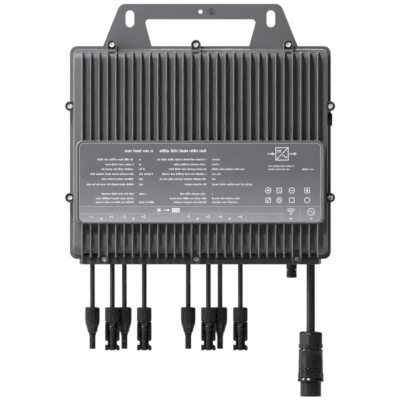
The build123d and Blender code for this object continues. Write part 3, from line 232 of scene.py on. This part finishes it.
housing = moulded("cast_powder_coat", grey(90, 0.07), 0.40, grain_mm=0.9, grain_height_mm=0.05,
                  edge_mm=0.5, mottle_mm=30.0, spread=0.05)
cover = moulded("plate_powder_coat", grey(83, 0.07), 0.40, grain_mm=0.7, grain_height_mm=0.03,
                edge_mm=0.4, mottle_mm=45.0, spread=0.05)
entry = moulded("entry_plastic", grey(56, 0.07), 0.5, grain_mm=0.4, grain_height_mm=0.02)
black = moulded("connector_plastic", grey(27, 0.06), 0.30, grain_mm=0.4, grain_height_mm=0.012,
                edge_mm=0.3, specular=0.35)
ring_black = moulded("ring_plastic", grey(21, 0.06), 0.24, grain_mm=0.5, grain_height_mm=0.008,
                     edge_mm=0.3, specular=0.35)
jacket = moulded("cable_jacket", grey(22, 0.06), 0.38, grain_mm=0.5, grain_height_mm=0.02,
                 edge_mm=0.1)
rubber = moulded("seal_rubber", grey(30), 0.7, grain_mm=0.6, grain_height_mm=0.03)
steel = moulded("zinc_plated_screw", grey(236), 0.34, grain_mm=0.25, grain_height_mm=0.006,
                edge_mm=0.2, mottle_mm=2.0, spread=0.06, metallic=0.2)
copper = moulded("tinned_copper", grey(190), 0.3, metallic=1.0, mottle_mm=1.5)
winding = moulded("enamelled_wire", (0.42, 0.14, 0.05, 1), 0.35, metallic=0.8, mottle_mm=3.0)
ferrite = moulded("ferrite", grey(52), 0.65, grain_mm=0.3, grain_height_mm=0.03)
board = moulded("circuit_board", (0.012, 0.10, 0.035, 1), 0.35, mottle_mm=6.0, spread=0.35)
sleeve = moulded("capacitor_sleeve", (0.012, 0.02, 0.05, 1), 0.3)
component = moulded("component_epoxy", grey(38), 0.55)
film = moulded("film_capacitor", (0.45, 0.30, 0.05, 1), 0.4)
terminal = moulded("terminal_block", (0.03, 0.16, 0.07, 1), 0.4)
thermal = moulded("thermal_pad", (0.25, 0.32, 0.45, 1), 0.8)


def paint(finish, *names):
    """Gives these CAD nodes a finish."""
    for name in names:
        piece = cad_nodes[name]
        piece.data.materials.clear()
        piece.data.materials.append(finish.material)


label_low, label_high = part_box("rating_label")
label_finish = Finish("label_film", grey(120), 0.38)


def finish_label(finish):
    """Printed polyester with a painted reflection that makes it lighter towards the foot, and a
    faint cloud over it.
    """
    split = finish.tree.nodes.new("ShaderNodeSeparateXYZ")
    finish.link(finish.place, split.inputs[0])
    height = finish.tree.nodes.new("ShaderNodeMapRange")
    height.inputs["From Min"].default_value = label_low.z
    height.inputs["From Max"].default_value = label_high.z
    finish.link(split.outputs["Z"], height.inputs["Value"])
    # painted reflection: the base colour grows lighter towards the label's foot, standing in for
    # light reflected off the semi-gloss film
    painted_reflection_tone = finish.ramp(height.outputs["Result"], [
        (0.0, grey(145, 0.06)), (0.22, grey(114, 0.06)),
        (0.62, grey(93, 0.07)), (1.0, grey(90, 0.07)),
    ])
    cloud = finish.ramp(finish.noise(25, 3), [(NOISE_LOW, grey(244)), (NOISE_HIGH, grey(255))])
    blend = finish.tree.nodes.new("ShaderNodeMix")
    blend.data_type = "RGBA"
    blend.blend_type = "MULTIPLY"
    blend.inputs["Factor"].default_value = 1.0
    finish.link(painted_reflection_tone, blend.inputs[MIX_A])
    finish.link(cloud, blend.inputs[MIX_B])
    finish.link(blend.outputs[MIX_RESULT], finish.shader.inputs["Base Color"])
    finish.vary_roughness(finish.noise(9, 3), 0.04)
    finish.bump(finish.noise(0.6, 2), 0.01, finish.rounded(0.2))


finish_label(label_finish)
ink = moulded("white_ink", grey(214, 0.04), 0.5, grain_mm=0.2, grain_height_mm=0.004, edge_mm=0.02,
              mottle_mm=4.0, spread=0.03)
# grey ink for the table's printed rules, and for the pale line round the label that is a painted
# highlight of its rim
rule_and_highlight_ink = moulded("grey_ink_and_painted_highlight", grey(158, 0.04), 0.5, grain_mm=0.2, grain_height_mm=0.004,
                   edge_mm=0.02, mottle_mm=4.0, spread=0.03)

paint(housing, "front_housing")
paint(cover, "rear_cover")
paint(entry, "cable_entry_block")
paint(label_finish, "rating_label")
paint(steel, "cover_screws", "board_screws")
paint(rubber, "housing_gasket", "pv_cable_seals", "ac_cable_seal", "internal_leads")
paint(black, "vent_plug", "pv_cap_nuts", "radio_port_body", "radio_port_cap", "ac_gland_nut",
      "ac_connector_body", "ac_spigot", "ac_insert")
paint(ring_black, "ac_coupling_ring")
paint(copper, "lead_contacts", "ac_contacts")
for pole, number, _ in PV_LEADS:
    paint(black, f"{pole}_connector_{number}")
    if pole == "plus":
        paint(black, f"latch_finger_{number}_left", f"latch_finger_{number}_right")
paint(board, "main_board", "radio_board")
paint(thermal, "thermal_pads")
paint(component, "power_transistors", "relays")
paint(ferrite, "transformer_cores", "choke_cores")
paint(winding, "transformer_windings", "choke_windings")
paint(sleeve, "input_capacitors")
paint(film, "film_capacitors")
paint(terminal, "wire_terminals")
for piece in pv_jackets + [ac_jacket]:
    piece.data.materials.append(jacket.material)

# ---------------------------------------------------------------- stage
FLOOR_Z = -0.60
FLOOR_BACK = 3.0
FLOOR_REACH = 5.0
SURROUND_LIGHT = 0.012


def make_stage():
    """A plain pale floor under the hanging object, and a white surround."""
    mesh = bpy.data.meshes.new("floor")
    mesh.from_pydata(
        [(-FLOOR_REACH, -FLOOR_REACH, FLOOR_Z), (FLOOR_REACH, -FLOOR_REACH, FLOOR_Z),
         (FLOOR_REACH, FLOOR_BACK, FLOOR_Z), (-FLOOR_REACH, FLOOR_BACK, FLOOR_Z)],
        [], [(0, 1, 2, 3)],
    )
    floor = bpy.data.objects.new("floor", mesh)
    bpy.context.scene.collection.objects.link(floor)
    pale = Finish("pale_floor", grey(204), 0.8)
    pale.vary_colour(pale.noise(300, 2), 0.01)
    mesh.materials.append(pale.material)

    world = bpy.data.worlds.new("studio")
    bpy.context.scene.world = world
    world.use_nodes = True
    tree = world.node_tree
    tree.nodes.clear()
    output = tree.nodes.new("ShaderNodeOutputWorld")
    seen = tree.nodes.new("ShaderNodeBackground")
    seen.inputs["Strength"].default_value = 1.0
    lighting = tree.nodes.new("ShaderNodeBackground")
    lighting.inputs["Strength"].default_value = SURROUND_LIGHT
    chooser = tree.nodes.new("ShaderNodeMixShader")
    path = tree.nodes.new("ShaderNodeLightPath")
    for shade in (seen, lighting):
        shade.inputs["Color"].default_value = (1, 1, 1, 1)
    tree.links.new(path.outputs["Is Camera Ray"], chooser.inputs[0])
    tree.links.new(lighting.outputs[0], chooser.inputs[1])
    tree.links.new(seen.outputs[0], chooser.inputs[2])
    tree.links.new(chooser.outputs[0], output.inputs["Surface"])
    bpy.context.scene.view_settings.view_transform = "Standard"


AIM = (0.0, 0.0, -0.22)
UPPER_AIM = (0.0, 0.0, -0.12)
WASH_PLACES = ((-2.0, -3.2), (2.0, -3.2), (-3.2, 0.8), (3.2, 0.8), (0.0, 2.8))
WASH_HEIGHT = 2.0
WASH_SIZE = 2.8
WASH_POWER = 70


def area_light(name, place, width, height, power, colour=(1, 1, 1), aim=AIM, spread=180):
    """A rectangular softbox at place, turned to the aim point, with its spread in degrees."""
    data = bpy.data.lights.new(name, "AREA")
    data.shape = "RECTANGLE"
    data.size = width
    data.size_y = height
    data.energy = power
    data.color = colour
    data.spread = math.radians(spread)
    light = bpy.data.objects.new(name, data)
    light.location = place
    light.rotation_euler = (Vector(aim) - Vector(place)).to_track_quat("-Z", "Y").to_euler()
    light.visible_camera = False
    bpy.context.scene.collection.objects.link(light)


make_stage()
area_light("key", (-0.62, -1.50, 1.20), 0.22, 0.22, 8.3, aim=(-0.05, 0, -0.12), spread=80)
area_light("left_side", (-1.9, -0.40, 0.60), 0.30, 0.9, 9, (0.96, 0.98, 1.0), UPPER_AIM, 60)
area_light("left_low", (-1.5, -0.90, -0.50), 0.16, 1.1, 5, (0.92, 0.96, 1.0))
area_light("top", (-1.05, -0.45, 1.35), 0.3, 0.3, 16)
area_light("left_rim", (-1.7, 0.9, -0.2), 0.5, 1.8, 6, (0.90, 0.95, 1.0))
area_light("right_rim", (1.2, 1.9, -0.2), 0.5, 1.8, 5)
area_light("back", (0.5, 2.6, 0.9), 1.2, 1.2, 30)
# these stand round the object and shine straight down, so that only the floor is lit
for wash_x, wash_y in WASH_PLACES:
    area_light("floor_wash", (wash_x, wash_y, WASH_HEIGHT), WASH_SIZE, WASH_SIZE, WASH_POWER,
               aim=(wash_x, wash_y, FLOOR_Z), spread=80)

# ---------------------------------------------------------------- label print
# the ink stands a little proud of the label's front, with its back just inside
PRINT_BACK = label_low.y + 0.02 * MM
PRINT_FRONT = label_low.y - 0.03 * MM
DISC_STEPS = 20
WAVE_STEPS = 24
CAPITAL_SHARE = 0.72
GLYPH_SWELL = 0.06 * MM


class Print:
    """Flat ink shapes on the label's front, in mm of the frame's x and z."""

    def __init__(self):
        self.mesh = bmesh.new()

    def shape(self, outline):
        """A thin prism over a closed outline of (x, z) corners."""
        front = [self.mesh.verts.new((x * MM, PRINT_FRONT, z * MM)) for x, z in outline]
        back = [self.mesh.verts.new((x * MM, PRINT_BACK, z * MM)) for x, z in outline]
        self.mesh.faces.new(front)
        self.mesh.faces.new(list(reversed(back)))
        for n in range(len(outline)):
            m = (n + 1) % len(outline)
            self.mesh.faces.new((front[m], front[n], back[n], back[m]))

    def bar(self, x0, x1, z, height):
        """A rectangle standing on z."""
        self.shape([(x0, z), (x1, z), (x1, z + height), (x0, z + height)])

    def band(self, inner, outer, closed):
        """A strip between two lines of as many points."""
        count = len(inner)
        for n in range(count if closed else count - 1):
            m = (n + 1) % count
            self.shape([inner[n], inner[m], outer[m], outer[n]])

    def arc(self, x, z, radius, width, start=0, end=360, steps=32):
        """A band along an arc, in degrees from +X towards +Z."""
        closed = end - start >= 360
        count = steps if closed else steps + 1
        turns = [math.radians(start + (end - start) * n / steps) for n in range(count)]
        inner, outer = (
            [(x + r * math.cos(t), z + r * math.sin(t)) for t in turns]
            for r in (radius - width / 2, radius + width / 2)
        )
        self.band(inner, outer, closed)

    def stroke(self, points, width):
        """A line of even width through the points."""
        last = len(points) - 1
        inner, outer = [], []
        for n, (x, z) in enumerate(points):
            before = points[max(n - 1, 0)]
            after = points[min(n + 1, last)]
            run = Vector((after[0] - before[0], after[1] - before[1])).normalized() * width / 2
            inner.append((x - run.y, z + run.x))
            outer.append((x + run.y, z - run.x))
        self.band(inner, outer, False)

    def disc(self, x, z, radius):
        """A filled round."""
        turns = [2 * math.pi * n / DISC_STEPS for n in range(DISC_STEPS)]
        self.shape([(x + radius * math.cos(t), z + radius * math.sin(t)) for t in turns])

    def square(self, x, z, half, width):
        """The outline of a square about x, z."""
        corners = [(-1, -1), (1, -1), (1, 1), (-1, 1)]
        inner, outer = (
            [(x + cx * reach, z + cz * reach) for cx, cz in corners]
            for reach in (half - width, half)
        )
        self.band(inner, outer, True)

    def wave(self, x, z, reach, height, width):
        """One period of a sine wave about x, z."""
        shares = [n / WAVE_STEPS for n in range(WAVE_STEPS + 1)]
        self.stroke([
            (x + reach * (2 * share - 1), z + height * math.sin(2 * math.pi * share))
            for share in shares
        ], width)

    def arrow(self, x):
        """A small arrowhead that points down, in the label's lowest row."""
        top, tip = ARROW_Z + ARROW_H / 2, ARROW_Z - ARROW_H / 2
        self.shape([(x - ARROW_HALF, top), (x, tip), (x + ARROW_HALF, top)])

    def side_arrow(self, base, tip, z, half):
        """An arrowhead that points sideways, from its base's x to its tip's."""
        self.shape([(tip, z), (base, z + half), (base, z - half)])

    def words(self, x0, x1, z, height, cover=0.52):
        """A stand-in for a line of print about z: word-long runs of upright strokes."""
        pitch = 0.52 * height
        x = x0
        left = rng.randint(3, 9)
        while x < x1 - 0.3 * pitch:
            tall = rng.choice((0.74, 0.74, 0.74, 1.0)) * height
            end = min(x + cover * pitch * rng.uniform(0.8, 1.2), x1)
            self.bar(x, end, z - 0.4 * height, tall)
            left -= 1
            x += pitch
            if left == 0:
                x += pitch
                left = rng.randint(3, 9)

    def number(self, text, x, z, height):
        """Real digits and signs, centred on x, z."""
        data = bpy.data.curves.new("digits", "FONT")
        data.body = text
        data.size = height * MM / CAPITAL_SHARE
        data.align_x = "CENTER"
        data.offset = GLYPH_SWELL
        holder = bpy.data.objects.new("digits", data)
        bpy.context.scene.collection.objects.link(holder)
        glyphs = bpy.data.meshes.new_from_object(holder)
        front = Matrix.Translation((x * MM, PRINT_FRONT, (z - height / 2) * MM))
        glyphs.transform(front @ Matrix.Rotation(math.radians(90), 4, "X"))
        self.mesh.from_mesh(glyphs)
        bpy.data.objects.remove(holder)
        bpy.data.curves.remove(data)
        bpy.data.meshes.remove(glyphs)


LINE_W = 0.55
# stand-in text, in rows of (z, left end of the name, right end of the value)
TEXT_H = 2.5
FIRST_RIGHT, FIRST_VALUE = -87.7, -80.4
FIRST_COLUMN = [
    (-186.5, -135.1, -78.2), (-193.0, -124.5, -78.2), (-199.2, -129.7, -73.0),
    (-205.6, -144.6, -62.9), (-212.2, -129.7, -75.8), (-219.3, -149.5, -75.8),
    (-231.7, -129.7, -71.7), (-237.7, -137.5, None), (-242.7, -137.5, -61.0),
]
SECOND_RIGHT, SECOND_VALUE = 7.8, 15.3
SECOND_COLUMN = [
    (-186.5, -56.4, 25.8), (-193.0, -34.7, 25.8), (-199.2, -41.1, 59.2),
    (-205.6, -50.1, 27.1), (-212.2, -53.4, 20.2), (-219.3, -20.3, 68.2),
    (-231.7, -26.8, 16.4), (-237.7, -40.0, 52.8), (-242.7, -34.7, 50.6),
]
HEADER_Z, HEADER_H, HEADER_COVER = -175.3, 3.6, 0.55
HEADER_RUNS = [(-99.3, -62.1), (-53.4, 8.5)]
SMALL_TEXT_H = 2.0
# each short line under the converter symbol: left end, right end and z
SMALL_LINES = [(89.0, 122.8, -195.2), (89.0, 117.0, -199.4), (134.1, 149.0, -199.4)]

# the painted highlight along the rim round the label, drawn as a pale line: inset and corner
# radius of its inner and its outer edge
RIM_HIGHLIGHT_INNER = (1.3, 5.3)
RIM_HIGHLIGHT_OUTER = (0.5, 6.1)
CORNER_POINTS = 10

# the table at the foot
LEGEND_TOP, LEGEND_ROW, LEGEND_FOOT = -248.3, -257.6, -267.2
ROW_RIGHT = 107.1
AC_CELL_LEFT = 131.4
PAIR_SEPARATORS = [-109.5, -66.7, -23.8, 18.6, 60.6]
TITLE_X, TITLE_Z = -43.3, -253.0
NUMBER_Z, NUMBER_H = -261.6, 4.0
NUMBER_SHIFT = 0.8
ARROW_Z, ARROW_HALF, ARROW_H = -264.7, 1.7, 2.4
RAYS = 8
RAY_IN, RAY_OUT = 2.1, 3.2
CELL, CELL_PITCH = (2.1, 2.5), (2.6, 3.0)
RADIO_Z = LEGEND_TOP - 9.6
AC_SIGN_Z = LEGEND_TOP - 7.0

# the converter symbol and the two rows of plain marks
MARK_W = 0.8
SYMBOL_X, SYMBOL_Z, SYMBOL_HALF = 107.4, -179.0, 8.6
SYMBOL_LINE_W = 0.9
MARK_COLUMNS = (89.3, 103.8, 120.3, 140.5)
UPPER_MARKS_Z, UPPER_MARK = -227.2, 3.6
LOWER_MARKS_Z, LOWER_MARK = -240.0, 3.4


def rim_highlight_line(inset, radius):
    """The label's outline set in by inset, as points in mm."""
    low_x, high_x = label_low.x / MM + inset, label_high.x / MM - inset
    low_z, high_z = label_low.z / MM + inset, label_high.z / MM - inset
    corners = [
        (high_x - radius, high_z - radius, 0), (low_x + radius, high_z - radius, 90),
        (low_x + radius, low_z + radius, 180), (high_x - radius, low_z + radius, 270),
    ]
    points = []
    for x, z, start in corners:
        for n in range(CORNER_POINTS):
            turn = math.radians(start + 90 * n / (CORNER_POINTS - 1))
            points.append((x + radius * math.cos(turn), z + radius * math.sin(turn)))
    return points


def print_text(page):
    """Stand-in text: a header, two columns of names and values, and a few short lines."""
    for left, right in HEADER_RUNS:
        page.words(left, right, HEADER_Z, HEADER_H, HEADER_COVER)
    for rows, right, value in (
        (FIRST_COLUMN, FIRST_RIGHT, FIRST_VALUE), (SECOND_COLUMN, SECOND_RIGHT, SECOND_VALUE),
    ):
        for z, left, end in rows:
            page.words(left, right, z, TEXT_H)
            if end is not None:
                page.words(value, end, z, TEXT_H)
    for left, right, z in SMALL_LINES:
        page.words(left, right, z, SMALL_TEXT_H)


def print_symbols(page):
    """The converter symbol and two rows of plain marks."""
    x, z = SYMBOL_X, SYMBOL_Z
    page.square(x, z, SYMBOL_HALF, SYMBOL_LINE_W)
    page.stroke([(x - 8.0, z - 8.0), (x + 8.0, z + 8.0)], MARK_W)
    for rise in (4.2, 2.2):
        page.bar(x - 6.4, x - 0.8, z + rise, MARK_W)
    page.wave(x + 3.4, z - 3.4, 2.9, 1.5, MARK_W)
    for side in (-1, 1):
        page.stroke([(x + side * 9.4, z), (x + side * 19.4, z)], SYMBOL_LINE_W)
    page.side_arrow(x - 13.6, x - 9.6, z, 2.2)
    page.side_arrow(x + 15.8, x + 19.8, z, 2.2)

    first, second, third, fourth = MARK_COLUMNS
    z = UPPER_MARKS_Z
    page.arc(first, z, UPPER_MARK, MARK_W)
    page.disc(first, z, 1.3)
    page.square(second, z, UPPER_MARK, MARK_W)
    page.wave(second, z, 2.2, 1.1, 0.6)
    page.arc(third, z, UPPER_MARK, MARK_W)
    page.bar(third - 2.0, third + 2.0, z - MARK_W / 2, MARK_W)
    page.square(fourth, z, UPPER_MARK, MARK_W)
    page.disc(fourth, z, 1.5)
    z = LOWER_MARKS_Z
    page.square(first, z, LOWER_MARK, MARK_W)
    page.stroke([(first - 2.1, z - 2.1), (first + 2.1, z + 2.1)], 0.7)
    page.arc(second, z, LOWER_MARK, MARK_W)
    page.arc(second, z, 1.5, 0.7)
    page.square(third, z, LOWER_MARK, MARK_W)
    page.arc(fourth, z, LOWER_MARK, MARK_W)


def print_lines(page):
    """The painted highlight along the rim round the label, as a pale line, and the rules of the
    table at the label's foot.
    """
    # a pale band round the label: a painted highlight of the rim catching light
    page.band(rim_highlight_line(*RIM_HIGHLIGHT_INNER), rim_highlight_line(*RIM_HIGHLIGHT_OUTER), True)
    inset = RIM_HIGHLIGHT_INNER[0]
    low_x, high_x = label_low.x / MM + inset, label_high.x / MM - inset
    page.bar(low_x, high_x, LEGEND_TOP - LINE_W / 2, LINE_W)
    page.bar(low_x, ROW_RIGHT, LEGEND_ROW - LINE_W / 2, LINE_W)
    for x in PAIR_SEPARATORS:
        page.bar(x - LINE_W / 2, x + LINE_W / 2, LEGEND_FOOT, LEGEND_ROW - LEGEND_FOOT)
    for x in (ROW_RIGHT, AC_CELL_LEFT):
        page.bar(x - LINE_W / 2, x + LINE_W / 2, LEGEND_FOOT, LEGEND_TOP - LEGEND_FOOT)


def print_legend(page):
    """What stands in the table: which lead is which, in numbers and pictograms."""
    # the solar side: a sun, an arrow and a panel
    x, z = TITLE_X - 11.0, TITLE_Z
    page.disc(x, z, 1.5)
    for n in range(RAYS):
        turn = 2 * math.pi * n / RAYS
        page.stroke([
            (x + reach * math.cos(turn), z + reach * math.sin(turn))
            for reach in (RAY_IN, RAY_OUT)
        ], 0.6)
    page.bar(TITLE_X - 5.5, TITLE_X + 0.5, z - MARK_W / 2, MARK_W)
    page.side_arrow(TITLE_X, TITLE_X + 3.2, z, 1.7)
    for row in range(2):
        for column in range(4):
            left = TITLE_X + 6.0 + CELL_PITCH[0] * column
            page.bar(left, left + CELL[0], z - 2.9 + CELL_PITCH[1] * row, CELL[1])
    # lead numbers, and arrows that point at the leads' pairs
    for pole, number, x in PV_LEADS:
        sign = "\u2212" if pole == "minus" else "+"
        page.number(f"{sign}{number}", x / MM - NUMBER_SHIFT, NUMBER_Z, NUMBER_H)
    for (_, _, left), (_, _, right) in zip(PV_LEADS[::2], PV_LEADS[1::2]):
        page.arrow((left + right) / 2 / MM - NUMBER_SHIFT)
    # the radio port and the alternating-current lead
    x = (ROW_RIGHT + AC_CELL_LEFT) / 2
    page.disc(x, RADIO_Z, 1.1)
    for radius in (2.8, 4.9, 7.0):
        page.arc(x, RADIO_Z, radius, MARK_W, 40, 140, 12)
    page.arrow(x)
    page.arc(AC_X / MM, AC_SIGN_Z, 4.6, MARK_W)
    page.wave(AC_X / MM, AC_SIGN_Z, 2.7, 1.4, MARK_W)
    page.arrow(AC_X / MM)


def lay_down(page, name, finish):
    """Turns a page into an object on the label."""
    mesh = bpy.data.meshes.new(name)
    bmesh.ops.recalc_face_normals(page.mesh, faces=page.mesh.faces)
    page.mesh.to_mesh(mesh)
    page.mesh.free()
    sheet = bpy.data.objects.new(name, mesh)
    bpy.context.scene.collection.objects.link(sheet)
    mesh.materials.append(finish.material)
    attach(sheet, BODY)


rng = random.Random(7)
page = Print()
print_text(page)
print_symbols(page)
print_legend(page)
lay_down(page, "label_print", ink)
# the table's printed rules, and the painted highlight along the rim round the label
rules = Print()
print_lines(rules)
lay_down(rules, "label_rules_and_painted_highlight", rule_and_highlight_ink)

bpy.context.view_layer.update()
